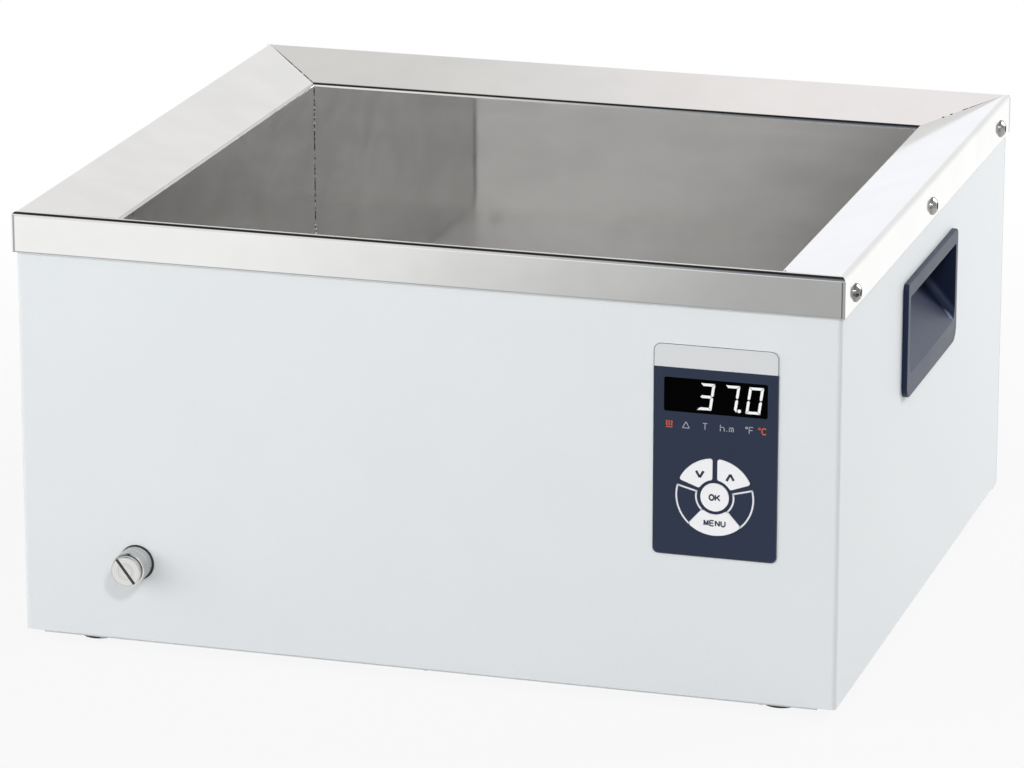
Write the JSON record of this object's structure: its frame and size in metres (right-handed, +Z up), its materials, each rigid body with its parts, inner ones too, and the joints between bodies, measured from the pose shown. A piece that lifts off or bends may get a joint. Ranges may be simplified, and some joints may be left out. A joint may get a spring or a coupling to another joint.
{
  "type": "laboratory water bath",
  "caption": "Open heated water bath: rectangular stainless tank with a sloped mitred rim in a white sheet housing, with keypad, display, slotted drain plug and recessed grips.",
  "frame": {"origin": "on the table under the middle of the bath's box", "axes": "+X to the right seen from the front, +Y to the back, +Z up"},
  "size_m": [0.4408, 0.415, 0.2312],
  "materials": {
    "rim_stainless": "cold-rolled stainless sheet, finely ground",
    "coated_sheet": "powder-coated white, slightly blue, satin",
    "zinc_sheet": "zinc-plated",
    "screw_steel": "stainless, turned",
    "turned_steel": "turned stainless",
    "black_rubber": "matt black",
    "handle_plastic": "dark blue-grey moulding, fine grain",
    "overlay_foil": "printed polyester foil, navy with a light header",
    "display_lens": "black glossy lens",
    "key_foil": "light grey embossed foil",
    "black_plastic": "moulded black",
    "circuit_board": "green solder mask",
    "post_plastic": "natural nylon and potting",
    "terminal_plastic": "green moulding",
    "aluminium_sheet": "mill finish",
    "pin_brass": "plated blades",
    "fuse_glass": "glass cartridge",
    "foam": "mineral fibre mat"
  },
  "bodies": {
    "bath": {"base_nuts": "zinc_sheet", "base_plate": "zinc_sheet", "base_screws": "zinc_sheet", "bath_back": "rim_stainless", "bath_floor": "rim_stainless", "bath_front": "rim_stainless", "bath_left": "rim_stainless", "bath_right": "rim_stainless", "board_screws": "zinc_sheet", "control_overlay": "overlay_foil", "controller_board": "circuit_board", "display_module": "black_plastic", "display_window": "display_lens", "drain_gasket": "black_rubber", "drain_nut": "turned_steel", "drain_pipe": "turned_steel", "drain_sleeve": "turned_steel", "feet": "black_rubber", "foot_nuts": "zinc_sheet", "foot_screws": "screw_steel", "handle_left": "handle_plastic", "handle_right": "handle_plastic", "heat_sink": "aluminium_sheet", "heater_plate": "aluminium_sheet", "heater_relay": "black_plastic", "heater_studs": "zinc_sheet", "heater_tube": "turned_steel", "housing": "coated_sheet", "inlet_pins": "pin_brass", "insulation": "foam", "key_carrier": "black_plastic", "key_switches": "black_plastic", "limit_thermostat": "black_plastic", "mains_inlet": "black_plastic", "power_board": "circuit_board", "power_posts": "post_plastic", "rear_nuts": "zinc_sheet", "rear_panel": "coated_sheet", "rear_screws": "screw_steel", "rim_nuts": "zinc_sheet", "rim_screws": "screw_steel", "stud_nuts": "zinc_sheet", "temperature_sensor": "turned_steel", "terminal_block": "terminal_plastic", "transformer": "post_plastic"},
    "key_up": {"key_up": "key_foil"},
    "key_down": {"key_down": "key_foil"},
    "key_menu": {"key_menu": "key_foil"},
    "key_ok": {"key_ok": "key_foil"},
    "plug_seal": {"plug_seal": "black_rubber"},
    "drain_plug": {"drain_plug": "turned_steel"},
    "mains_rocker": {"mains_rocker": "black_plastic"},
    "fuse_drawer": {"fuse_drawer": "black_plastic", "fuses": "fuse_glass"}
  },
  "joints": [
    {"name": "key_up_press", "type": "slide", "parent": "bath", "child": "key_up", "axis": [0, 1, 0], "range_m": [0, 0.0005], "stiffness_N_per_m": 800, "springref_m": -0.001},
    {"name": "key_down_press", "type": "slide", "parent": "bath", "child": "key_down", "axis": [0, 1, 0], "range_m": [0, 0.0005], "stiffness_N_per_m": 800, "springref_m": -0.001},
    {"name": "key_menu_press", "type": "slide", "parent": "bath", "child": "key_menu", "axis": [0, 1, 0], "range_m": [0, 0.0005], "stiffness_N_per_m": 800, "springref_m": -0.001},
    {"name": "key_ok_press", "type": "slide", "parent": "bath", "child": "key_ok", "axis": [0, 1, 0], "range_m": [0, 0.0005], "stiffness_N_per_m": 800, "springref_m": -0.001},
    {"name": "plug_seal_slide", "type": "slide", "parent": "bath", "child": "plug_seal", "axis": [0, -1, 0], "range_m": [0, 0.006]},
    {"name": "drain_plug_turn", "type": "hinge", "parent": "plug_seal", "child": "drain_plug", "pos_m": [-0.154, -0.19049, 0.049], "axis": [0, -1, 0], "range_deg": [0, 1440]},
    {"name": "mains_rocker_tilt", "type": "hinge", "parent": "bath", "child": "mains_rocker", "pos_m": [0.1205, 0.20411, 0.068], "axis": [1, 0, 0], "range_deg": [0, 18]},
    {"name": "fuse_drawer_pull", "type": "slide", "parent": "bath", "child": "fuse_drawer", "axis": [0, 1, 0], "range_m": [0, 0.016]}
  ],
  "couplings": [
    {"joint": "plug_seal_slide", "follows": "drain_plug_turn", "m_per_rad": 0.00023873}
  ]
}
